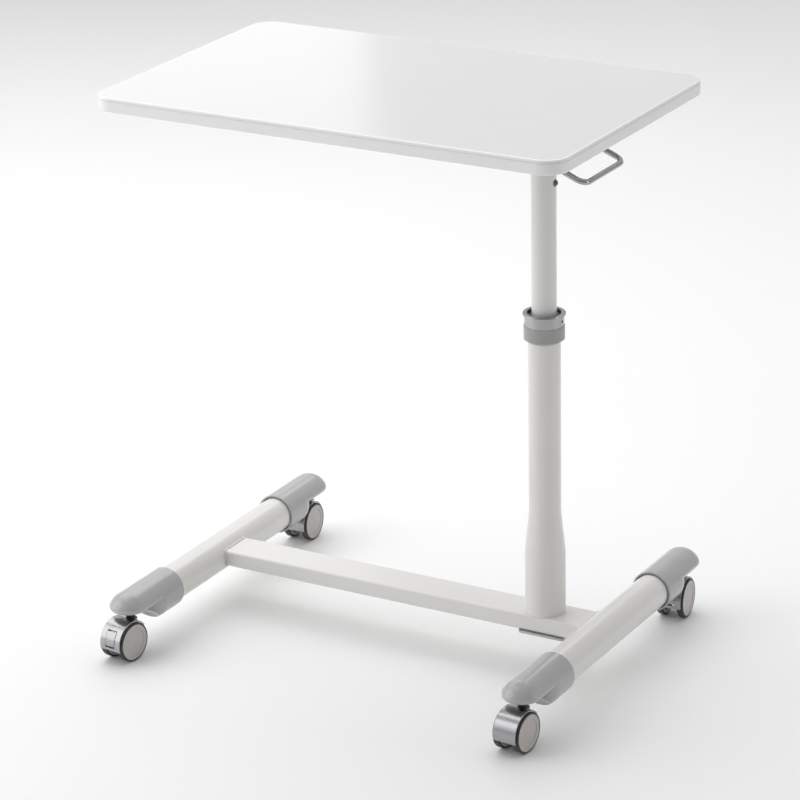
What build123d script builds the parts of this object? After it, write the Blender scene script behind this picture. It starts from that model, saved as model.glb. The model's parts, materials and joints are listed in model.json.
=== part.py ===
from build123d import *
import os
from math import cos, radians, sin

# Overbed table: a laminate top on a height-adjustable column, carried by a crossbar, two foot tubes
# and four twin-wheel castors. Millimetres.
# The origin is on the floor, below the middle of the bounding box. +X runs along the long edge of the
# top towards the column, +Y points from the user's side to the far side, and +Z is up.

# --- driving dimensions -------------------------------------------------------------------------
table_height = 711.0       # floor to the top surface, at rest
top_length = 625.0         # along X
top_width = 394.0          # along Y
top_thickness = 17.5
top_corner = 28.0          # corner radius in plan
top_shift = 3.6            # middle of the top, behind the column axis

column_x = 194.5           # column axis
lower_radius = 19.8        # lower column tube
upper_radius = 15.2        # sliding upper tube
column_top = 452.2         # top end of the lower column
upper_bottom = 235.0       # bottom end of the sliding tube, at rest

bar_width = 51.0           # crossbar tube, along Y
bar_bottom = 49.4
bar_top = 70.1

foot_x = 275.0             # foot tubes and castor stems
foot_z = 58.4              # axis of the foot tubes
foot_radius = 22.5
foot_reach = 164.0         # half the length of a foot tube

cap_mouth = 131.5          # open end of an end cap, from the middle of the foot
cap_radius = 26.0
stem_reach = 214.6         # castor stems, from the middle of the foot
cap_underside = 61.0       # flat underside of a cap's nose

wheel_radius = 25.0
castor_trail = 13.9        # axle behind the stem
shield_radius = 27.3       # outside of the castor's shield
shield_half_width = 15.6
castor_turns = {"fl": -7.0, "fr": -5.0, "rl": 2.0, "rr": 6.0}   # swivel of each castor, degrees

running_gap = 0.05         # radial clearance of a running fit
past = 2.0                 # how far a cutting tool runs past the face that it opens

# The castors trail towards the user, so the middle of the table sits a little behind the origin.
middle_y = (castor_trail + shield_radius - cap_radius) / 2
underside_z = table_height - top_thickness
os.makedirs("parts", exist_ok=True)


def save(piece, name):
    """Label one finished piece and write it as its own STEP file."""
    piece.part.label = name
    export_step(piece.part, f"parts/{name}.step")


def ring_section(inner, outer, low, high):
    """Draw the section of a plain ring, inside a BuildSketch on the XZ plane, for a revolve."""
    with Locations(((inner + outer) / 2, (low + high) / 2)):
        Rectangle(outer - inner, high - low)


def top_plane(z):
    """Horizontal plane on the middle of the table top."""
    return Plane(origin=(0, middle_y + top_shift, z))


def base_plane(z):
    """Horizontal plane on the middle of the base."""
    return Plane(origin=(0, middle_y, z))


def column_plane(z):
    """Horizontal plane on the column axis."""
    return Plane(origin=(column_x, middle_y, z))


def column_section():
    """Vertical plane through the column axis, with X outwards from the axis and Y up."""
    return Plane(origin=(column_x, middle_y, 0), x_dir=(1, 0, 0), z_dir=(0, -1, 0))


def side_plane(x, z):
    """Vertical plane that faces +X, beside the column."""
    return Plane(origin=(x, middle_y, z), x_dir=(0, 1, 0), z_dir=(1, 0, 0))


def cross_plane(x, y, z):
    """Vertical plane that faces -Y, with X to the right."""
    return Plane(origin=(x, y, z), x_dir=(1, 0, 0), z_dir=(0, -1, 0))


column_axis = Axis((column_x, middle_y, 0), (0, 0, 1))

# --- table top ----------------------------------------------------------------------------------
band_width = 3.0
plate_thickness = 4.0
plate_screw_x = 60.0       # half spacing of the plate's screws
plate_screw_y = 46.0
screw_depth = 12.0
screw_radius = 2.0
board_length = top_length - 2 * band_width
board_width = top_width - 2 * band_width
board_corner = top_corner - band_width

with BuildPart() as table_top:
    with BuildSketch(top_plane(underside_z)):
        RectangleRounded(board_length, board_width, board_corner)
    extrude(amount=top_thickness)
    with BuildSketch(column_plane(underside_z)):
        with GridLocations(2 * plate_screw_x, 2 * plate_screw_y, 2, 2):
            Circle(screw_radius)
    extrude(amount=screw_depth, mode=Mode.SUBTRACT)
save(table_top, "table_top")

# The edge band wraps the board. A fine groove runs round it, just below the rounded top edge.
band_top_round = 2.6
band_bottom_round = 1.6
groove_drop = 4.2
groove_height = 0.8
groove_depth = 0.7
with BuildPart() as edge_band:
    with BuildSketch(top_plane(underside_z)):
        RectangleRounded(top_length, top_width, top_corner)
    extrude(amount=top_thickness)
    fillet(edge_band.faces().sort_by(Axis.Z)[-1].edges(), band_top_round)
    fillet(edge_band.faces().sort_by(Axis.Z)[0].edges(), band_bottom_round)
    with BuildSketch(top_plane(underside_z)):
        RectangleRounded(board_length, board_width, board_corner)
    extrude(amount=top_thickness, mode=Mode.SUBTRACT)
    with BuildSketch(top_plane(table_height - groove_drop)):
        RectangleRounded(top_length + past, top_width + past, top_corner + past / 2)
        RectangleRounded(top_length - 2 * groove_depth, top_width - 2 * groove_depth,
                         top_corner - groove_depth, mode=Mode.SUBTRACT)
    extrude(amount=groove_height, mode=Mode.SUBTRACT)
save(edge_band, "edge_band")

# --- bracket under the top ----------------------------------------------------------------------
plate_bottom = underside_z - plate_thickness
plate_length = 150.0
plate_width = 120.0
plate_boss_radius = 20.0
boss_bottom = 677.0
plate_corner = 10.0
screw_clearance = 0.6
ear_inner = 44.0           # inner face of each ear, from the column axis along Y
ear_thickness = 3.0
ear_width = 24.0
ear_foot_height = 8.0
pivot_x = column_x + 28.0  # release lever's shaft
pivot_z = 663.0
ear_round = 9.0
shaft_radius = 3.0

with BuildPart() as mount_plate:
    with BuildSketch(column_plane(plate_bottom)):
        RectangleRounded(plate_length, plate_width, plate_corner)
        with GridLocations(2 * plate_screw_x, 2 * plate_screw_y, 2, 2):
            Circle(screw_radius + screw_clearance, mode=Mode.SUBTRACT)
    extrude(amount=plate_thickness)
    with BuildSketch(column_plane(boss_bottom)):
        Circle(plate_boss_radius)
    extrude(amount=plate_bottom - boss_bottom)
    with BuildSketch(column_plane(boss_bottom)):
        Circle(upper_radius)
    extrude(amount=plate_bottom - boss_bottom, mode=Mode.SUBTRACT)
    for side in (-1, 1):
        ear_face = Plane(origin=(pivot_x, middle_y + side * ear_inner, pivot_z), x_dir=(-side, 0, 0),
                         z_dir=(0, side, 0))
        with BuildSketch(ear_face):
            Circle(ear_round)
            with Locations((0, (plate_bottom - pivot_z) / 2)):
                Rectangle(2 * ear_round, plate_bottom - pivot_z)
            with Locations((0, plate_bottom - pivot_z - ear_foot_height / 2)):
                Rectangle(ear_width, ear_foot_height)
            Circle(shaft_radius + running_gap, mode=Mode.SUBTRACT)
        extrude(amount=ear_thickness)
save(mount_plate, "mount_plate")

screw_head_radius = 4.0
screw_head_height = 2.4
screw_head_round = 1.2
with BuildPart() as plate_screws:
    with BuildSketch(column_plane(plate_bottom - screw_head_height)):
        with GridLocations(2 * plate_screw_x, 2 * plate_screw_y, 2, 2):
            Circle(screw_head_radius)
    extrude(amount=screw_head_height)
    fillet(plate_screws.faces().group_by(Axis.Z)[0].edges(), screw_head_round)
    with BuildSketch(column_plane(plate_bottom)):
        with GridLocations(2 * plate_screw_x, 2 * plate_screw_y, 2, 2):
            Circle(screw_radius)
    extrude(amount=plate_thickness + screw_depth)
save(plate_screws, "plate_screws")

# --- release lever ------------------------------------------------------------------------------
# A bail of round bar: two arms slope down from the shaft to a straight grip beyond the bracket.
bar_radius = 3.5
arm_y = 51.0               # arms, from the column axis along Y
grip_x = 273.9
grip_z = 641.6
lever_bend = 12.0
eye_radius = 6.5
eye_gap = 0.5              # between an eye and the ear beside it
eye_inner = ear_inner + ear_thickness + eye_gap
pivot_plane = cross_plane(pivot_x, middle_y, pivot_z)

with BuildPart() as release_lever:
    with BuildLine() as lever_line:
        FilletPolyline((pivot_x, middle_y - arm_y, pivot_z), (grip_x, middle_y - arm_y, grip_z),
                       (grip_x, middle_y + arm_y, grip_z), (pivot_x, middle_y + arm_y, pivot_z),
                       radius=lever_bend)
    with BuildSketch(Plane(origin=lever_line.line @ 0, z_dir=lever_line.line % 0)):
        Circle(bar_radius)
    sweep()
    for side in (-1, 1):
        with BuildSketch(cross_plane(pivot_x, middle_y + side * arm_y, pivot_z)):
            Circle(eye_radius)
        extrude(amount=arm_y - eye_inner, both=True)
    with BuildSketch(pivot_plane):
        Circle(shaft_radius)
    extrude(amount=2 * arm_y - eye_inner + past, both=True, mode=Mode.SUBTRACT)
save(release_lever, "release_lever")

shaft_head = 4.6
shaft_head_height = 1.0
shaft_end = 2 * arm_y - eye_inner
with BuildPart() as lever_shaft:
    with BuildSketch(pivot_plane):
        Circle(shaft_radius)
    extrude(amount=shaft_end, both=True)
    for side in (-1, 1):
        with BuildSketch(cross_plane(pivot_x, middle_y + side * shaft_end, pivot_z)):
            Circle(shaft_head)
        extrude(amount=-side * shaft_head_height)
save(lever_shaft, "lever_shaft")

finger_half_width = 5.0
finger_half_height = 2.5
finger_past = 2.5          # how far the finger runs past the column axis
finger_reach = pivot_x - column_x + finger_past
sleeve_radius = 6.0
with BuildPart() as release_finger:
    with BuildSketch(pivot_plane):
        Circle(sleeve_radius)
        with Locations((-finger_reach / 2, 0)):
            Rectangle(finger_reach, 2 * finger_half_height)
        Circle(shaft_radius, mode=Mode.SUBTRACT)
    extrude(amount=finger_half_width, both=True)
save(release_finger, "release_finger")

# --- sliding upper tube -------------------------------------------------------------------------
tube_wall = 2.0
window_low = 653.5
window_high = 673.5
window_width = 13.0
window_corner = 3.0
clamp_screw_z = 620.0
clamp_hole = 2.6
clamp_thread = 2.1
with BuildPart() as upper_tube:
    with BuildSketch(column_plane(upper_bottom)):
        Circle(upper_radius)
        Circle(upper_radius - tube_wall, mode=Mode.SUBTRACT)
    extrude(amount=plate_bottom - upper_bottom)
    window_middle = (window_low + window_high) / 2
    with BuildSketch(side_plane(column_x, window_middle)):
        RectangleRounded(window_width, window_high - window_low, window_corner)
    extrude(amount=upper_radius + past, mode=Mode.SUBTRACT)
    with BuildSketch(side_plane(column_x, clamp_screw_z)):
        Circle(clamp_hole)
    extrude(amount=upper_radius + past, mode=Mode.SUBTRACT)
save(upper_tube, "upper_tube")

# The plug holds the gas spring's rod in the tube, and a button-head screw holds the plug.
rod_radius = 5.0
plug_half_height = 12.0
with BuildPart() as rod_plug:
    with BuildSketch(column_plane(clamp_screw_z - plug_half_height)):
        Circle(upper_radius - tube_wall)
        Circle(rod_radius, mode=Mode.SUBTRACT)
    extrude(amount=2 * plug_half_height)
    with BuildSketch(side_plane(column_x, clamp_screw_z)):
        Circle(clamp_thread)
    extrude(amount=upper_radius, mode=Mode.SUBTRACT)
save(rod_plug, "rod_plug")

clamp_head_radius = 4.2
clamp_shoulder_radius = 2.6
clamp_shoulder_height = 2.4
clamp_drive_radius = 1.3   # round drive recess in the screw's head
clamp_drive_floor = upper_radius + 1.2
clamp_face = upper_radius + 3.0
clamp_tip = rod_radius + 0.3
with BuildPart() as clamp_screw:
    with BuildSketch(cross_plane(column_x, middle_y, clamp_screw_z)):
        with BuildLine():
            Polyline((clamp_tip, 0), (clamp_tip, clamp_thread), (upper_radius, clamp_thread),
                     (upper_radius, clamp_head_radius))
            ThreePointArc((upper_radius, clamp_head_radius),
                          (upper_radius + clamp_shoulder_height, clamp_shoulder_radius),
                          (clamp_face, clamp_drive_radius))
            Polyline((clamp_face, clamp_drive_radius), (clamp_drive_floor, clamp_drive_radius),
                     (clamp_drive_floor, 0), (clamp_tip, 0))
        make_face()
    revolve(axis=Axis((column_x, middle_y, clamp_screw_z), (1, 0, 0)))
save(clamp_screw, "clamp_screw")

bush_outer = lower_radius - tube_wall
bush_length = 25.0
bush_start = upper_bottom + 2.0
with BuildPart() as lower_bush:
    with BuildSketch(column_plane(bush_start)):
        Circle(bush_outer - running_gap)
        Circle(upper_radius, mode=Mode.SUBTRACT)
    extrude(amount=bush_length)
save(lower_bush, "lower_bush")

# --- gas spring ---------------------------------------------------------------------------------
cylinder_radius = 11.0
cylinder_bore = 10.0
cylinder_bottom = 77.5
cylinder_floor = 83.5
gland_bottom = 374.0
cylinder_top = 394.0
piston_bottom = 242.0
piston_top = 252.0
pin_radius = 2.0
pin_round = 0.8
pin_top = pivot_z - finger_half_height - 0.5
rod_top = pin_top - 8.0
pin_bottom = rod_top - 12.0
pin_bore_floor = rod_top - 18.0

with BuildPart() as gas_cylinder:
    with BuildSketch(column_section()):
        ring_section(0, cylinder_bore, cylinder_bottom, cylinder_floor)
        ring_section(cylinder_bore, cylinder_radius, cylinder_bottom, cylinder_top)
        ring_section(rod_radius + running_gap, cylinder_bore, gland_bottom, cylinder_top)
    revolve(axis=column_axis)
save(gas_cylinder, "gas_cylinder")

with BuildPart() as gas_rod:
    with BuildSketch(column_section()):
        ring_section(0, cylinder_bore - running_gap, piston_bottom, piston_top)
        ring_section(0, rod_radius, piston_top, pin_bore_floor)
        ring_section(pin_radius + running_gap, rod_radius, pin_bore_floor, rod_top)
    revolve(axis=column_axis)
save(gas_rod, "gas_rod")

with BuildPart() as release_pin:
    with BuildSketch(column_plane(pin_bottom)):
        Circle(pin_radius)
    extrude(amount=pin_top - pin_bottom)
    fillet(release_pin.faces().sort_by(Axis.Z)[-1].edges(), pin_round)
save(release_pin, "release_pin")

# --- lower column -------------------------------------------------------------------------------
flare_top = 208.5
flare_bottom = 142.3
flare_pull = 0.8           # how long the flare's curve stays upright at each end
base_radius = 25.2
bolt_circle = 21.5
bolt_radius = 2.5
bolt_depth = 12.0
bolt_start_angle = 45.0
foot_plug_top = 83.5

with BuildPart() as lower_column:
    with BuildSketch(column_section()):
        with BuildLine():
            Polyline((lower_radius, flare_top), (lower_radius, column_top), (bush_outer, column_top),
                     (bush_outer, bar_top), (base_radius, bar_top), (base_radius, flare_bottom))
            Spline((base_radius, flare_bottom), (lower_radius, flare_top),
                   tangents=((0, 1), (0, 1)), tangent_scalars=(flare_pull, flare_pull))
        make_face()
    revolve(axis=column_axis)
    with BuildSketch(column_plane(bar_top)):
        with PolarLocations(bolt_circle, 4, start_angle=bolt_start_angle):
            Circle(bolt_radius)
    extrude(amount=bolt_depth, mode=Mode.SUBTRACT)
save(lower_column, "lower_column")

with BuildPart() as spring_foot:
    with BuildSketch(column_section()):
        ring_section(0, cylinder_radius, bar_top, cylinder_bottom)
        ring_section(cylinder_radius, bush_outer, bar_top, foot_plug_top)
    revolve(axis=column_axis)
save(spring_foot, "spring_foot")

bush_bottom = 417.2
bush_flange = 2.0
with BuildPart() as upper_bush:
    with BuildSketch(column_section()):
        ring_section(upper_radius + running_gap, bush_outer, bush_bottom, column_top)
        ring_section(upper_radius + running_gap, lower_radius, column_top, column_top + bush_flange)
    revolve(axis=column_axis)
save(upper_bush, "upper_bush")

# --- collar at the top of the lower column ------------------------------------------------------
ring_bottom = 422.2
ring_top = 442.7
ring_radius = 24.75
ring_chamfer_height = 4.5
ring_chamfer_depth = 3.2
ring_round = 0.8
chrome_radius = 24.0
lip_bottom = 455.5
lip_top = 457.7
lip_radius = 26.0
lip_opening = 20.8
lip_round = 0.9
grub_z = 449.2
grub_radius = 1.8          # blind hole in the chrome band, on the +X side
grub_floor = 22.0

with BuildPart() as collar_ring:
    with BuildSketch(column_section()):
        ring_section(lower_radius, ring_radius, ring_bottom, ring_top)
    revolve(axis=column_axis)
    chamfer(collar_ring.edges().group_by(Axis.Z)[0].sort_by(SortBy.RADIUS)[-1],
            length=ring_chamfer_height, length2=ring_chamfer_depth)
    fillet(collar_ring.edges().group_by(Axis.Z)[-1].sort_by(SortBy.RADIUS)[-1], ring_round)
save(collar_ring, "collar_ring")

with BuildPart() as collar_chrome:
    with BuildSketch(column_section()):
        ring_section(lower_radius, lip_opening, ring_top, column_top)
        ring_section(lip_opening, chrome_radius, ring_top, lip_bottom)
        ring_section(lip_opening, lip_radius, lip_bottom, lip_top)
    revolve(axis=column_axis)
    fillet(collar_chrome.edges().group_by(Axis.Z)[-1].sort_by(SortBy.RADIUS)[-1], lip_round)
    with BuildSketch(side_plane(column_x + grub_floor, grub_z)):
        Circle(grub_radius)
    extrude(amount=chrome_radius, mode=Mode.SUBTRACT)
save(collar_chrome, "collar_chrome")

# --- base ---------------------------------------------------------------------------------------
bar_wall = 2.0
bar_corner = 3.0
bar_end = foot_x - foot_radius + 0.9
bar_middle = (bar_bottom + bar_top) / 2
base_plate_length = 62.0
base_plate_width = 57.0
base_plate_thickness = 3.0
base_plate_corner = 4.0
bolt_clearance = 0.3
base_plate_shift = 7.0

with BuildPart() as crossbar:
    with BuildSketch(side_plane(0, bar_middle)):
        RectangleRounded(bar_width, bar_top - bar_bottom, bar_corner)
        RectangleRounded(bar_width - 2 * bar_wall, bar_top - bar_bottom - 2 * bar_wall,
                         bar_corner - bar_wall, mode=Mode.SUBTRACT)
    extrude(amount=bar_end, both=True)
    with BuildSketch(cross_plane(0, middle_y, foot_z)):
        with Locations((-foot_x, 0), (foot_x, 0)):
            Circle(foot_radius)
    extrude(amount=bar_width, both=True, mode=Mode.SUBTRACT)
    with BuildSketch(column_plane(bar_bottom)):
        with PolarLocations(bolt_circle, 4, start_angle=bolt_start_angle):
            Circle(bolt_radius + bolt_clearance)
    extrude(amount=bar_top - bar_bottom, mode=Mode.SUBTRACT)
save(crossbar, "crossbar")

with BuildPart() as base_plate:
    with BuildSketch(column_plane(bar_bottom - base_plate_thickness)):
        with Locations((base_plate_shift, 0)):
            RectangleRounded(base_plate_length, base_plate_width, base_plate_corner)
        with PolarLocations(bolt_circle, 4, start_angle=bolt_start_angle):
            Circle(bolt_radius + bolt_clearance, mode=Mode.SUBTRACT)
    extrude(amount=base_plate_thickness)
save(base_plate, "base_plate")

bolt_head_radius = 4.4
bolt_head_height = 3.2
bolt_start = bar_bottom - base_plate_thickness
with BuildPart() as base_bolts:
    with BuildSketch(column_plane(bolt_start - bolt_head_height)):
        with PolarLocations(bolt_circle, 4, start_angle=bolt_start_angle):
            RegularPolygon(bolt_head_radius, 6)
    extrude(amount=bolt_head_height)
    with BuildSketch(column_plane(bolt_start)):
        with PolarLocations(bolt_circle, 4, start_angle=bolt_start_angle):
            Circle(bolt_radius)
    extrude(amount=bar_top + bolt_depth - bolt_start)
save(base_bolts, "base_bolts")

foot_wall = 2.5
cap_screw_reach = 149.0
cap_screw_radius = 2.0
for side, name in ((-1, "foot_left"), (1, "foot_right")):
    with BuildPart() as foot_tube:
        with BuildSketch(cross_plane(side * foot_x, middle_y, foot_z)):
            Circle(foot_radius)
            Circle(foot_radius - foot_wall, mode=Mode.SUBTRACT)
        extrude(amount=foot_reach, both=True)
        with BuildSketch(Plane(origin=(side * foot_x, middle_y, 0))):
            with Locations((0, -cap_screw_reach), (0, cap_screw_reach)):
                Circle(cap_screw_radius)
        extrude(amount=foot_z, mode=Mode.SUBTRACT)
    save(foot_tube, name)

# --- end caps -----------------------------------------------------------------------------------
# Drawn for a foot that runs along Y from the origin: a round-ended sleeve, scooped out below to
# clear the turning castor, and a nose that carries its upper half on over the castor stem.
mouth_radius = 24.0
mouth_depth = 8.0
sleeve_end = 168.0         # middle of the sleeve's round end
sleeve_bottom = foot_z - cap_radius
nose_start = 150.0
nose_end = 216.54          # middle of the nose's round end, whose tip is cap_radius past the stem
nose_round = 6.0
sweep_room = 1.5
sweep_reach = ((castor_trail + shield_radius) ** 2 + shield_half_width ** 2) ** 0.5
sweep_middle = stem_reach - sweep_reach + shield_radius
sweep_radius = shield_radius + sweep_room
socket_radius = 7.5
socket_top = 80.5
cap_plane = Plane(origin=(0, cap_mouth, 0), x_dir=(-1, 0, 0), z_dir=(0, 1, 0))


def capsule(start, middle):
    """A bar along the foot's axis with one round end, inside a BuildPart."""
    with BuildSketch(Plane.YZ) as profile:
        with BuildLine() as outline:
            CenterArc((middle, foot_z), cap_radius, 0, 90)
            Polyline((middle, foot_z + cap_radius), (start, foot_z + cap_radius), (start, foot_z),
                     (middle + cap_radius, foot_z))
        make_face(outline.edges())
    revolve(profile.sketch, axis=Axis((0, 0, foot_z), (0, 1, 0)))


with BuildPart() as end_cap:
    capsule(nose_start, nose_end)
    split(bisect_by=Plane.XY.offset(cap_underside))
    fillet(end_cap.faces().sort_by(Axis.Z)[0].edges(), nose_round)
    capsule(cap_mouth, sleeve_end)
    with BuildSketch(Plane.YZ):
        with BuildLine():
            CenterArc((sweep_middle, wheel_radius), sweep_radius, 90, 90)
            Polyline((sweep_middle - sweep_radius, wheel_radius), (stem_reach, wheel_radius),
                     (stem_reach, wheel_radius + sweep_radius),
                     (sweep_middle, wheel_radius + sweep_radius))
        make_face()
    revolve(axis=Axis((0, stem_reach, 0), (0, 0, 1)), mode=Mode.SUBTRACT)
    with BuildSketch(cap_plane):
        with Locations((0, foot_z)):
            Circle(foot_radius)
    extrude(amount=foot_reach - cap_mouth, mode=Mode.SUBTRACT)
    with BuildSketch(cap_plane):
        with Locations((0, foot_z)):
            Circle(mouth_radius)
    extrude(amount=mouth_depth, mode=Mode.SUBTRACT)
    with BuildSketch(Plane(origin=(0, stem_reach, cap_underside))):
        Circle(socket_radius)
    extrude(amount=socket_top - cap_underside, mode=Mode.SUBTRACT)
    with BuildSketch(Plane(origin=(0, cap_screw_reach, 0))):
        Circle(cap_screw_radius)
    extrude(amount=foot_z - foot_radius + past, mode=Mode.SUBTRACT)

corners = {"fl": (-1, -1), "fr": (1, -1), "rl": (-1, 1), "rr": (1, 1)}
for corner, (side, end) in corners.items():
    with BuildPart() as placed_cap:
        with Locations(Location((side * foot_x, middle_y, 0), (0, 0, 0 if end > 0 else 180))):
            add(end_cap.part)
    save(placed_cap, f"end_cap_{corner}")

cap_screw_head = 3.6
cap_screw_head_height = 2.0
cap_screw_tip = foot_z - foot_radius + foot_wall + 3.0
with BuildPart() as cap_screws:
    with BuildSketch(base_plane(sleeve_bottom)):
        with GridLocations(2 * foot_x, 2 * cap_screw_reach, 2, 2):
            Circle(cap_screw_radius)
    extrude(amount=cap_screw_tip - sleeve_bottom)
    with BuildSketch(base_plane(sleeve_bottom)):
        with GridLocations(2 * foot_x, 2 * cap_screw_reach, 2, 2):
            Circle(cap_screw_head)
    extrude(amount=-cap_screw_head_height)
save(cap_screws, "cap_screws")

stem_radius = 5.5
stem_top = 78.0
stem_room = 0.5            # above the stem, inside its socket
socket_flange = 9.5
flange_height = 1.0
with BuildPart() as stem_sockets:
    with BuildSketch(base_plane(cap_underside)):
        with GridLocations(2 * foot_x, 2 * stem_reach, 2, 2):
            Circle(socket_radius)
    extrude(amount=socket_top - cap_underside)
    with BuildSketch(base_plane(cap_underside)):
        with GridLocations(2 * foot_x, 2 * stem_reach, 2, 2):
            Circle(socket_flange)
    extrude(amount=-flange_height)
    with BuildSketch(base_plane(cap_underside - flange_height)):
        with GridLocations(2 * foot_x, 2 * stem_reach, 2, 2):
            Circle(stem_radius + running_gap)
    extrude(amount=stem_top + stem_room - cap_underside + flange_height, mode=Mode.SUBTRACT)
save(stem_sockets, "stem_sockets")

# --- castors ------------------------------------------------------------------------------------
# Drawn with the stem on the Z axis and the axle along X, trailing towards -Y. Angles on the shield
# are measured about the axle in the YZ plane, from +Y, so 90 degrees is the crown.
shield_inner = 25.8
shield_back = 36.0
shield_front = 192.0
shield_round = 0.6
web_half_width = 3.5
web_back = 60.0
web_front = 184.0
hub_radius = 7.0
hub_half_width = 8.7
boss_radius = 8.5          # upright boss round the stem
boss_low = 18.0
boss_top = 49.0
rib_inner = 4.0            # rib between the axle and the stem boss
rib_low = -20.0
rib_high = 75.0
axle_radius = 3.0
axle_half = 14.9
stem_chamfer = 1.0
tyre_inner = 22.6
tyre_round = 1.4
tread_inside = 9.2         # inner and outer face of a tyre, from the middle of the castor
tread_outside = 17.8
pedal_half_width = 7.0
pedal_top = 140.0
pedal_low = 179.0
pedal_thickness = 1.8
pedal_neck = 149.0
pedal_pivot_angle = 136.0
pedal_pivot_radius = 21.5
pedal_arm_high = 146.0
pedal_arm_inner = pedal_pivot_radius - 1.0
pedal_arm_outer = pedal_pivot_radius + 2.0
pedal_eye = 2.6
trunnion_radius = 1.5
trunnion_half = 8.7
window_half_width = pedal_half_width + 0.6
window_inner = 16.0
window_gap = 4.5           # degrees of free space beyond each end of the pedal
recess_start = 124.0
ear_inside = pedal_half_width + 0.4
ear_outside = 9.0
ear_low = 18.6
ear_start = 128.0
ear_end = 144.0
ear_overlap = 0.2
axle_point = (-castor_trail, wheel_radius)
axle_line = Axis((0, -castor_trail, wheel_radius), (1, 0, 0))
pedal_pivot = (-castor_trail + pedal_pivot_radius * cos(radians(pedal_pivot_angle)),
               wheel_radius + pedal_pivot_radius * sin(radians(pedal_pivot_angle)))


def sector(inner, outer, start, end, mode=Mode.ADD):
    """Draw a ring sector about the axle, inside a BuildSketch on the YZ plane."""
    with BuildLine() as outline:
        outside = CenterArc(axle_point, outer, start, end - start)
        inside = CenterArc(axle_point, inner, start, end - start)
        Line(outside @ 0, inside @ 0)
        Line(outside @ 1, inside @ 1)
    make_face(outline.edges(), mode=mode)


def castor_body(with_window):
    """The castor's body: shield, web, axle hub and stem boss, with a window where a pedal sits."""
    with BuildPart() as body:
        with BuildSketch(Plane.YZ):
            sector(shield_inner, shield_radius, shield_back, shield_front)
        extrude(amount=shield_half_width, both=True)
        fillet(body.edges().filter_by(GeomType.CIRCLE).sort_by(SortBy.RADIUS)[-2:], shield_round)
        with BuildSketch(Plane.YZ):
            sector(hub_radius - 1, shield_inner, web_back, web_front)
        extrude(amount=web_half_width, both=True)
        with BuildSketch(Plane.YZ):
            with Locations(axle_point):
                Circle(hub_radius)
        extrude(amount=hub_half_width, both=True)
        with BuildSketch(Plane.XY.offset(boss_low)):
            Circle(boss_radius)
        extrude(amount=boss_top - boss_low)
        with BuildSketch(Plane.YZ):
            sector(rib_inner, castor_trail, rib_low, rib_high)
        extrude(amount=web_half_width, both=True)
        if with_window:
            with BuildSketch(Plane.YZ):
                sector(window_inner, shield_radius + past, pedal_top - window_gap, pedal_low + window_gap)
                sector(window_inner, shield_inner, recess_start, pedal_top)
            extrude(amount=window_half_width, both=True, mode=Mode.SUBTRACT)
            for side in (-1, 1):
                with BuildSketch(Plane.YZ.offset(side * ear_inside)):
                    sector(ear_low, shield_inner + ear_overlap, ear_start, ear_end)
                    with Locations(pedal_pivot):
                        Circle(trunnion_radius + running_gap, mode=Mode.SUBTRACT)
                extrude(amount=side * (ear_outside - ear_inside))
        with BuildSketch(Plane.XY.offset(boss_low)):
            Circle(stem_radius)
        extrude(amount=boss_top + past - boss_low, mode=Mode.SUBTRACT)
        with BuildSketch(Plane.YZ):
            with Locations(axle_point):
                Circle(axle_radius)
        extrude(amount=hub_half_width + past, both=True, mode=Mode.SUBTRACT)
    return body


plain_body = castor_body(False)
window_body = castor_body(True)

with BuildPart() as castor_stem:
    with BuildSketch(Plane.XY.offset(boss_low)):
        Circle(stem_radius)
    extrude(amount=stem_top - boss_low)
    chamfer(castor_stem.faces().sort_by(Axis.Z)[-1].edges(), stem_chamfer)

with BuildPart() as castor_axle:
    with BuildSketch(Plane.YZ):
        with Locations(axle_point):
            Circle(axle_radius)
    extrude(amount=axle_half, both=True)

# Half widths of a wheel's hub are measured from the middle of the castor, and heights from the axle.
wheel_plane = cross_plane(0, -castor_trail, wheel_radius)
bore_inside = 8.9
bore_outside = 15.2
hub_boss = 6.0
dish_face = 13.6           # inner face of the disc
dish_edge = 19.0
rim_face = 17.6
disc_edge = 16.8           # both radius and half width at the edge of the domed disc
disc_step = 17.6
disc_rise = 0.6
dome_radius = (disc_edge ** 2 + disc_rise ** 2) / (2 * disc_rise)
dome_middle = disc_edge + disc_rise - dome_radius + (dome_radius ** 2 - (disc_edge / 2) ** 2) ** 0.5


def wheel_hub(side):
    """The hub and dished disc of one wheel, on the given side of the castor."""
    bore = axle_radius + running_gap
    with BuildPart() as hub:
        with BuildSketch(wheel_plane):
            with BuildLine():
                Polyline((side * bore_outside, 0), (side * bore_outside, bore), (side * bore_inside, bore),
                         (side * bore_inside, hub_boss), (side * dish_face, hub_boss),
                         (side * dish_face, dish_edge), (side * tread_inside, dish_edge),
                         (side * tread_inside, tyre_inner), (side * rim_face, tyre_inner),
                         (side * rim_face, disc_step), (side * disc_edge, disc_edge))
                ThreePointArc((side * disc_edge, disc_edge), (side * dome_middle, disc_edge / 2),
                              (side * (disc_edge + disc_rise), 0))
                Line((side * (disc_edge + disc_rise), 0), (side * bore_outside, 0))
            make_face()
        revolve(axis=axle_line)
    return hub


def wheel_tyre(side):
    """The tyre of one wheel."""
    with BuildPart() as tyre:
        with BuildSketch(wheel_plane):
            with Locations((side * (tread_inside + tread_outside) / 2, (tyre_inner + wheel_radius) / 2)):
                Rectangle(tread_outside - tread_inside, wheel_radius - tyre_inner)
        revolve(axis=axle_line)
        fillet(tyre.edges().filter_by(GeomType.CIRCLE).sort_by(SortBy.RADIUS)[-2:], tyre_round)
    return tyre


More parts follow.
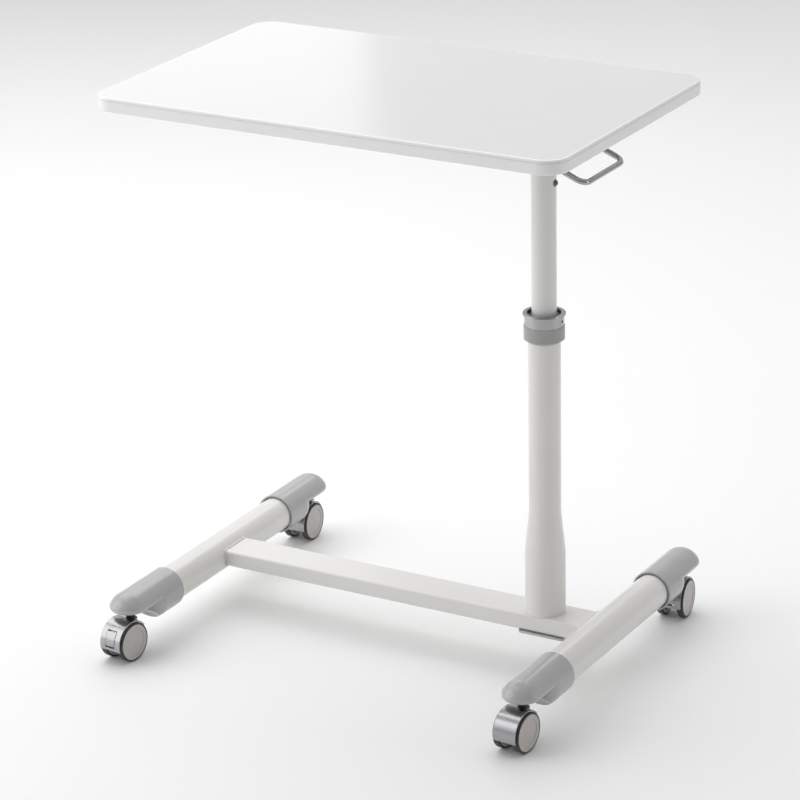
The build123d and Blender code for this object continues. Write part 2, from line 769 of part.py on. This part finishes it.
with BuildPart() as pedal:
    with BuildSketch(Plane.YZ):
        sector(shield_inner, shield_inner + pedal_thickness, pedal_top, pedal_low)
        sector(pedal_arm_inner, shield_inner + ear_overlap, pedal_top, pedal_neck)
        sector(pedal_arm_inner, pedal_arm_outer, pedal_pivot_angle, pedal_arm_high)
        with Locations(pedal_pivot):
            Circle(pedal_eye)
    extrude(amount=pedal_half_width, both=True)
    with BuildSketch(Plane.YZ):
        with Locations(pedal_pivot):
            Circle(trunnion_radius)
    extrude(amount=trunnion_half, both=True)

for corner, (side, end) in corners.items():
    braked = corner in ("fl", "rr")
    pieces = {
        "castor_body": window_body if braked else plain_body,
        "castor_stem": castor_stem,
        "castor_axle": castor_axle,
        "hub_left": wheel_hub(-1),
        "hub_right": wheel_hub(1),
        "tyre_left": wheel_tyre(-1),
        "tyre_right": wheel_tyre(1),
    }
    if braked:
        pieces["brake_pedal"] = pedal
    castor_place = Location((side * foot_x, middle_y + end * stem_reach, 0), (0, 0, castor_turns[corner]))
    for name, piece in pieces.items():
        with BuildPart() as placed_piece:
            with Locations(castor_place):
                add(piece.part)
        save(placed_piece, f"{name}_{corner}")
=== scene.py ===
import json
from math import cos, pi, radians, sin

import bpy
from mathutils import Matrix, Vector


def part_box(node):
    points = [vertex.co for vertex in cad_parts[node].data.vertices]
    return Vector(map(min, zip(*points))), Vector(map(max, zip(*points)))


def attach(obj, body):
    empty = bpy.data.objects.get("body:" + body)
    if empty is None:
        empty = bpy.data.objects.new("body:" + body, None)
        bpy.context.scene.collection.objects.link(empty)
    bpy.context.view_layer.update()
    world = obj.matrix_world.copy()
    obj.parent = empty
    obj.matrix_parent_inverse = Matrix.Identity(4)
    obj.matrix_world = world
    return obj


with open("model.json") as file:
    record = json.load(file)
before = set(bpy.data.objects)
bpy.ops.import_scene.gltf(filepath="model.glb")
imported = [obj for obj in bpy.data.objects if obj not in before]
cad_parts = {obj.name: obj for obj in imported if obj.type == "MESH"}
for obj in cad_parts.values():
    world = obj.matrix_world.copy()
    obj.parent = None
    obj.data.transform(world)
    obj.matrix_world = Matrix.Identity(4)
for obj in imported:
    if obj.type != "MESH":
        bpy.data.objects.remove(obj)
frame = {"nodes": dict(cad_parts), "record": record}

# Overbed table. Metres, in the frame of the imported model: the origin is on the floor below the middle
# of the bounding box, +X runs towards the column, +Y away from the user and +Z up.

MM = 0.001
SHARP_ANGLE = radians(38)           # edges sharper than this are softened
RIPPLE = 2.2 * MM                   # length of one ripple of a weld bead
RIPPLE_DEPTH = 0.16                 # ripple height as a share of the bead's radius
BEAD_RADIUS = 1.5 * MM
BAR_CORNER = 3.0 * MM               # corner radius of the bead's path round the crossbar
BEAD_STEP = 0.5 * MM                # distance between the points of a bead
FLOOR_HALF = 12.0
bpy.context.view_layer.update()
nodes = frame["nodes"]


# --- node helpers -------------------------------------------------------------------------------
class Shader:
    """A new material with one Principled shader, and short calls that add the nodes in front of it."""

    def __init__(self, name, color, roughness, metallic=0.0):
        self.material = bpy.data.materials.new(name)
        self.material.use_nodes = True
        self.nodes = self.material.node_tree.nodes
        self.links = self.material.node_tree.links
        self.shader = self.nodes["Principled BSDF"]
        self.set("Base Color", (*color, 1.0))
        self.set("Roughness", roughness)
        self.set("Metallic", metallic)
        self.place = self.nodes.new("ShaderNodeTexCoord").outputs["Object"]

    def set(self, socket, value):
        self.shader.inputs[socket].default_value = value

    def plug(self, output, socket):
        self.links.new(output, self.shader.inputs[socket])

    def stretch(self, scale):
        """The object's own place, stretched by a factor along each axis."""
        mapping = self.nodes.new("ShaderNodeMapping")
        mapping.inputs["Scale"].default_value = scale
        self.links.new(self.place, mapping.inputs["Vector"])
        return mapping.outputs["Vector"]

    def noise(self, size, detail=3.0, roughness=0.5, place=None):
        """Noise whose blobs are about size metres across."""
        node = self.nodes.new("ShaderNodeTexNoise")
        node.inputs["Scale"].default_value = 1.0 / size
        node.inputs["Detail"].default_value = detail
        node.inputs["Roughness"].default_value = roughness
        self.links.new(place or self.place, node.inputs["Vector"])
        return node.outputs["Fac"]

    def cells(self, size, place=None):
        """Distance to the middle of random cells about size metres across."""
        node = self.nodes.new("ShaderNodeTexVoronoi")
        node.inputs["Scale"].default_value = 1.0 / size
        self.links.new(place or self.place, node.inputs["Vector"])
        return node.outputs["Distance"]

    def spread(self, value, low, high, start=0.3, end=0.7):
        """Map value from start..end to low..high."""
        node = self.nodes.new("ShaderNodeMapRange")
        for socket, number in (("From Min", start), ("From Max", end), ("To Min", low), ("To Max", high)):
            node.inputs[socket].default_value = number
        self.links.new(value, node.inputs["Value"])
        return node.outputs["Result"]

    def blend(self, value, dark, light):
        """A colour between two, chosen by value."""
        node = self.nodes.new("ShaderNodeMix")
        node.data_type = "RGBA"
        node.inputs["A"].default_value = (*dark, 1.0)
        node.inputs["B"].default_value = (*light, 1.0)
        self.links.new(value, node.inputs["Factor"])
        return node.outputs["Result"]

    def mask(self, first, second):
        """Product of two values."""
        node = self.nodes.new("ShaderNodeMath")
        node.operation = "MULTIPLY"
        self.links.new(first, node.inputs[0])
        self.links.new(second, node.inputs[1])
        return node.outputs["Value"]

    def bump(self, value, height, strength=1.0):
        """Bump of the given height in metres, added on top of any bump that is there already."""
        node = self.nodes.new("ShaderNodeBump")
        node.inputs["Distance"].default_value = height
        node.inputs["Strength"].default_value = strength
        self.links.new(value, node.inputs["Height"])
        before = self.shader.inputs["Normal"].links
        if before:
            self.links.new(before[0].from_socket, node.inputs["Normal"])
        self.plug(node.outputs["Normal"], "Normal")


def shade(color, factor):
    return tuple(min(1.0, channel * factor) for channel in color)


# --- materials ----------------------------------------------------------------------------------
def laminate():
    """White high-pressure laminate: faint mottle, fine pearl texture and a soft gloss."""
    white = (0.735, 0.735, 0.75)
    m = Shader("laminate", white, 0.2)
    m.plug(m.blend(m.noise(0.06, 4.0), shade(white, 0.985), shade(white, 1.012)), "Base Color")
    m.plug(m.spread(m.noise(0.11, 3.0), 0.18, 0.22), "Roughness")
    m.bump(m.noise(0.0011, 2.0), 0.000012)
    m.bump(m.noise(0.02, 2.0), 0.00003, 0.4)
    m.set("Coat Weight", 0.35)
    m.set("Coat Roughness", 0.12)
    return m.material


def edge_plastic():
    """Off-white edge band: smooth extruded plastic with faint lines along its length."""
    white = (0.9, 0.9, 0.91)
    m = Shader("edge_plastic", white, 0.22)
    lines = m.noise(0.0015, 2.0, place=m.stretch((0.03, 0.03, 1.0)))
    m.plug(m.blend(m.noise(0.05), shade(white, 0.97), shade(white, 1.02)), "Base Color")
    m.plug(m.spread(lines, 0.17, 0.27), "Roughness")
    m.bump(lines, 0.00003, 0.5)
    return m.material


def powder_coat():
    """Warm white powder coat on steel tube: fine orange peel, slight gloss changes and a clear gloss."""
    white = (0.78, 0.77, 0.745)
    m = Shader("powder_coat", white, 0.3)
    m.plug(m.blend(m.noise(0.06, 2.0), shade(white, 0.99), shade(white, 1.01)), "Base Color")
    m.plug(m.spread(m.noise(0.03, 3.0), 0.28, 0.33), "Roughness")
    m.bump(m.noise(0.0016, 2.0), 0.000012, 0.6)
    m.set("Coat Weight", 0.5)
    m.set("Coat Roughness", 0.1)
    return m.material


def grey_plastic():
    """Glossy moulded grey plastic with slight sink marks."""
    grey = (0.44, 0.44, 0.45)
    m = Shader("grey_plastic", grey, 0.25)
    m.plug(m.blend(m.noise(0.02, 3.0), shade(grey, 0.975), shade(grey, 1.02)), "Base Color")
    m.plug(m.spread(m.noise(0.02, 3.0), 0.2, 0.27), "Roughness")
    m.bump(m.noise(0.012, 2.0), 0.00002, 0.2)
    m.set("Coat Weight", 0.4)
    m.set("Coat Roughness", 0.12)
    return m.material


def collar_paint():
    """Satin grey collar with fine turning marks."""
    grey = (0.37, 0.37, 0.365)
    m = Shader("collar_paint", grey, 0.38)
    rings = m.noise(0.0009, 2.0, place=m.stretch((0.02, 0.02, 1.0)))
    m.plug(m.blend(m.noise(0.01, 3.0), shade(grey, 0.92), shade(grey, 1.07)), "Base Color")
    m.plug(m.spread(rings, 0.3, 0.42), "Roughness")
    m.bump(rings, 0.00003, 0.6)
    return m.material


def chrome(name="chrome", tint=(0.42, 0.42, 0.43), rough=(0.06, 0.16)):
    """Chrome plate with faint haze and handling marks."""
    m = Shader(name, tint, rough[0], 1.0)
    m.plug(m.blend(m.noise(0.012, 4.0), shade(tint, 0.93), shade(tint, 1.03)), "Base Color")
    m.plug(m.spread(m.noise(0.006, 6.0, 0.65), *rough), "Roughness")
    m.bump(m.noise(0.004, 2.0), 0.00002, 0.4)
    return m.material


def zinc_steel(name="zinc_steel", tint=(0.50, 0.50, 0.51)):
    """Zinc-plated sheet and bar: brushed along one way, with a patchy spangle."""
    m = Shader(name, tint, 0.35, 0.9)
    brushed = m.noise(0.0006, 3.0, place=m.stretch((0.05, 1.0, 1.0)))
    m.plug(m.blend(m.cells(0.006), shade(tint, 0.85), shade(tint, 1.1)), "Base Color")
    m.plug(m.spread(brushed, 0.28, 0.45), "Roughness")
    m.bump(brushed, 0.00002, 0.6)
    return m.material


def black_plastic():
    """Black moulded bush plastic."""
    black = (0.02, 0.02, 0.021)
    m = Shader("black_plastic", black, 0.5)
    m.plug(m.blend(m.noise(0.008), shade(black, 0.7), shade(black, 1.5)), "Base Color")
    m.plug(m.spread(m.noise(0.003, 4.0), 0.4, 0.6), "Roughness")
    m.bump(m.noise(0.0008, 2.0), 0.00003, 0.6)
    return m.material


def tyre_rubber():
    """Dark grey castor tyre with dusty, scuffed shoulders."""
    dark = (0.035, 0.034, 0.033)
    m = Shader("tyre_rubber", dark, 0.6)
    dust = m.mask(m.noise(0.004, 5.0, 0.7), m.noise(0.015, 2.0))
    dusty = (0.09, 0.088, 0.085)
    m.plug(m.blend(m.spread(dust, 0.0, 1.0, 0.2, 0.45), shade(dark, 0.8), dusty), "Base Color")
    m.plug(m.spread(dust, 0.5, 0.75, 0.2, 0.45), "Roughness")
    m.bump(m.noise(0.0009, 3.0), 0.00005, 0.6)
    return m.material


def disc_plastic():
    """Brown-grey wheel disc, moulded with a satin face."""
    brown = (0.52, 0.49, 0.47)
    m = Shader("disc_plastic", brown, 0.35)
    m.plug(m.blend(m.noise(0.008, 4.0), shade(brown, 0.9), shade(brown, 1.08)), "Base Color")
    m.plug(m.spread(m.noise(0.003, 4.0), 0.26, 0.42), "Roughness")
    m.bump(m.noise(0.0008, 2.0), 0.00003, 0.5)
    return m.material


def black_oxide():
    """Blackened steel of the stems and axles."""
    dark = (0.05, 0.05, 0.052)
    m = Shader("black_oxide", dark, 0.35, 0.8)
    m.plug(m.blend(m.noise(0.004, 4.0), shade(dark, 0.7), shade(dark, 1.5)), "Base Color")
    m.plug(m.spread(m.noise(0.002, 3.0), 0.28, 0.5), "Roughness")
    m.bump(m.noise(0.0007, 2.0), 0.00002, 0.5)
    return m.material


MATERIALS = {
    "laminate": laminate(),
    "edge_trim": edge_plastic(),
    "painted_frame": powder_coat(),
    "grey_collar": collar_paint(),
    "chrome": chrome(),
    "steel": zinc_steel(),
    "fasteners": zinc_steel("dark_zinc", (0.16, 0.16, 0.165)),
    "black_paint": black_plastic(),
    "black_plastic": black_plastic(),
    "grey_plastic": grey_plastic(),
    "castor_chrome": chrome("castor_chrome", (0.39, 0.39, 0.4), (0.2, 0.28)),
    "dark_steel": black_oxide(),
    "castor_disc": disc_plastic(),
    "tyre": tyre_rubber(),
    "pedal_plastic": chrome("pedal_chrome", (0.38, 0.38, 0.39), (0.22, 0.3)),
}
slot_of = {part["node"]: part["material_slot"] for part in frame["record"]["subparts"]}


def paint(obj, slot):
    """Give an object the material of one of the record's slots."""
    obj.data.materials.clear()
    obj.data.materials.append(MATERIALS[slot])


def soften(obj, width):
    """Round the sharp edges of a CAD node by a small bevel."""
    bevel = obj.modifiers.new("soft_edges", "BEVEL")
    bevel.width = width
    bevel.segments = 2
    bevel.limit_method = "ANGLE"
    bevel.angle_limit = SHARP_ANGLE
    bevel.harden_normals = True


for name, node in nodes.items():
    paint(node, slot_of[name])


# --- small details on the CAD nodes ---------------------------------------------------------------
EDGE_ROUND = {
    "castor_body_": 0.35 * MM,
    "brake_pedal_": 0.3 * MM,
    "hub_": 0.25 * MM,
    "collar_": 0.3 * MM,
    "mount_plate": 0.4 * MM,
    "base_plate": 0.5 * MM,
}
for name, node in nodes.items():
    for start, width in EDGE_ROUND.items():
        if name.startswith(start):
            soften(node, width)


def sweep_bead(name, points, slot, body):
    """A weld bead: an uneven round bead along a closed line of points, with the ripples of its passes."""
    curve = bpy.data.curves.new(name + "_line", "CURVE")
    curve.dimensions = "3D"
    spline = curve.splines.new("POLY")
    spline.points.add(len(points) - 1)
    travelled = 0.0
    for i, point in enumerate(points):
        if i:
            travelled += (point - points[i - 1]).length
        spline.points[i].co = (*point, 1.0)
        spline.points[i].radius = 1.0 + RIPPLE_DEPTH * cos(2 * pi * travelled / RIPPLE)
    spline.use_cyclic_u = True
    curve.bevel_depth = BEAD_RADIUS
    curve.bevel_resolution = 3
    holder = bpy.data.objects.new(name + "_line", curve)
    bpy.context.scene.collection.objects.link(holder)
    mesh = bpy.data.meshes.new_from_object(holder.evaluated_get(bpy.context.evaluated_depsgraph_get()))
    bpy.data.objects.remove(holder)
    bead = bpy.data.objects.new(name, mesh)
    bpy.context.scene.collection.objects.link(bead)
    for face in mesh.polygons:
        face.use_smooth = True
    paint(bead, slot)
    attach(bead, body)


def make_bar_weld(side):
    """The bead round one end of the crossbar, on the foot tube."""
    low, high = (Vector(corner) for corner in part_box("crossbar"))
    foot_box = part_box("foot_right" if side > 0 else "foot_left")
    foot_low, foot_high = (Vector(corner) for corner in foot_box)
    foot_radius = (foot_high.x - foot_low.x) / 2
    foot_x = (foot_high.x + foot_low.x) / 2
    foot_z = (foot_high.z + foot_low.z) / 2
    outline = []
    centres = [(high.y, high.z, 0), (low.y, high.z, 90), (low.y, low.z, 180), (high.y, low.z, 270)]
    for y, z, start in centres:
        middle_y = y - BAR_CORNER * (1 if y == high.y else -1)
        middle_z = z - BAR_CORNER * (1 if z == high.z else -1)
        for degrees in range(0, 91, 15):
            angle = radians(start + degrees)
            outline.append((middle_y + BAR_CORNER * cos(angle), middle_z + BAR_CORNER * sin(angle)))
    points = []
    for i, (y, z) in enumerate(outline):
        next_y, next_z = outline[(i + 1) % len(outline)]
        length = ((next_y - y) ** 2 + (next_z - z) ** 2) ** 0.5
        count = max(1, round(length / BEAD_STEP))
        for k in range(count):
            point_y = y + (next_y - y) * k / count
            point_z = z + (next_z - z) * k / count
            drop = max(0.0, foot_radius ** 2 - (point_z - foot_z) ** 2) ** 0.5
            reach = abs(foot_x) - drop - BEAD_RADIUS / 2
            points.append(Vector((side * reach, point_y, point_z)))
    name = "bar_weld_right" if side > 0 else "bar_weld_left"
    sweep_bead(name, points, "painted_frame", "base")


make_bar_weld(-1)
make_bar_weld(1)


# --- stage, lights and camera -------------------------------------------------------------------
def floor_material():
    m = Shader("studio_floor", (0.93, 0.93, 0.93), 0.55)
    m.plug(m.blend(m.noise(0.8, 2.0), (0.92, 0.92, 0.92), (0.94, 0.94, 0.94)), "Base Color")
    return m.material


def make_floor():
    """A pale studio floor, wide enough for every view."""
    mesh = bpy.data.meshes.new("studio_floor")
    signs = ((-1, -1), (1, -1), (1, 1), (-1, 1))
    mesh.from_pydata([(x * FLOOR_HALF, y * FLOOR_HALF, 0) for x, y in signs], [], [(0, 1, 2, 3)])
    floor = bpy.data.objects.new("studio_floor", mesh)
    bpy.context.scene.collection.objects.link(floor)
    mesh.materials.append(floor_material())


def softbox(name, place, target, size, power):
    """A rectangular area light that faces a point."""
    lamp = bpy.data.lights.new(name, "AREA")
    lamp.shape = "RECTANGLE"
    lamp.size, lamp.size_y = size
    lamp.energy = power
    obj = bpy.data.objects.new(name, lamp)
    obj.location = place
    obj.rotation_euler = (Vector(target) - Vector(place)).to_track_quat("-Z", "Y").to_euler()
    bpy.context.scene.collection.objects.link(obj)


def make_world():
    """A soft studio: pale on the left, above and behind, and darker towards the camera."""
    world = bpy.data.worlds.new("studio")
    bpy.context.scene.world = world
    world.use_nodes = True
    tree = world.node_tree
    direction = tree.nodes.new("ShaderNodeTexCoord").outputs["Generated"]
    facing = tree.nodes.new("ShaderNodeVectorMath")
    facing.operation = "DOT_PRODUCT"
    facing.inputs[1].default_value = Vector((-0.55, 0.55, 0.63)).normalized()
    tree.links.new(direction, facing.inputs[0])
    ramp = tree.nodes.new("ShaderNodeMapRange")
    ramp.interpolation_type = "SMOOTHSTEP"
    steps = (("From Min", -0.75), ("From Max", 0.7), ("To Min", 0.24), ("To Max", 0.62))
    for socket, number in steps:
        ramp.inputs[socket].default_value = number
    tree.links.new(facing.outputs["Value"], ramp.inputs["Value"])
    background = tree.nodes["Background"]
    background.inputs["Color"].default_value = (1.0, 1.0, 1.0, 1.0)
    tree.links.new(ramp.outputs["Result"], background.inputs["Strength"])


def make_lights():
    softbox("overhead", (-0.95, 1.0, 2.7), (0.0, 0.0, 0.2), (3.4, 3.0), 49)
    softbox("left_panel", (-2.5, -1.6, 1.5), (0.2, 0.0, 0.3), (3.2, 2.8), 43)
    softbox("right_panel", (2.6, 0.6, 0.9), (0.3, 0.0, 0.5), (0.5, 1.6), 5)
    softbox("back_panel", (-2.3, 2.5, 1.5), (-2.3, 0.0, 1.5), (1.6, 1.0), 3.1)


def make_camera():
    """The camera looks down at the table from the user's side, to the right of the column's end."""
    lens = 156.0
    place = Vector((1.9824, -3.4455, 1.8321))
    yaw, pitch, roll = radians(29.93), radians(20.89), radians(-1.16)
    data = bpy.data.cameras.new("camera")
    data.lens = lens
    camera = bpy.data.objects.new("camera", data)
    turn = (Matrix.Rotation(yaw, 4, "Z") @ Matrix.Rotation(pi / 2 - pitch, 4, "X")
            @ Matrix.Rotation(roll, 4, "Z"))
    camera.matrix_world = Matrix.Translation(place) @ turn
    bpy.context.scene.collection.objects.link(camera)
    bpy.context.scene.camera = camera


make_floor()
make_world()
make_lights()
make_camera()
bpy.context.scene.view_settings.view_transform = "Standard"
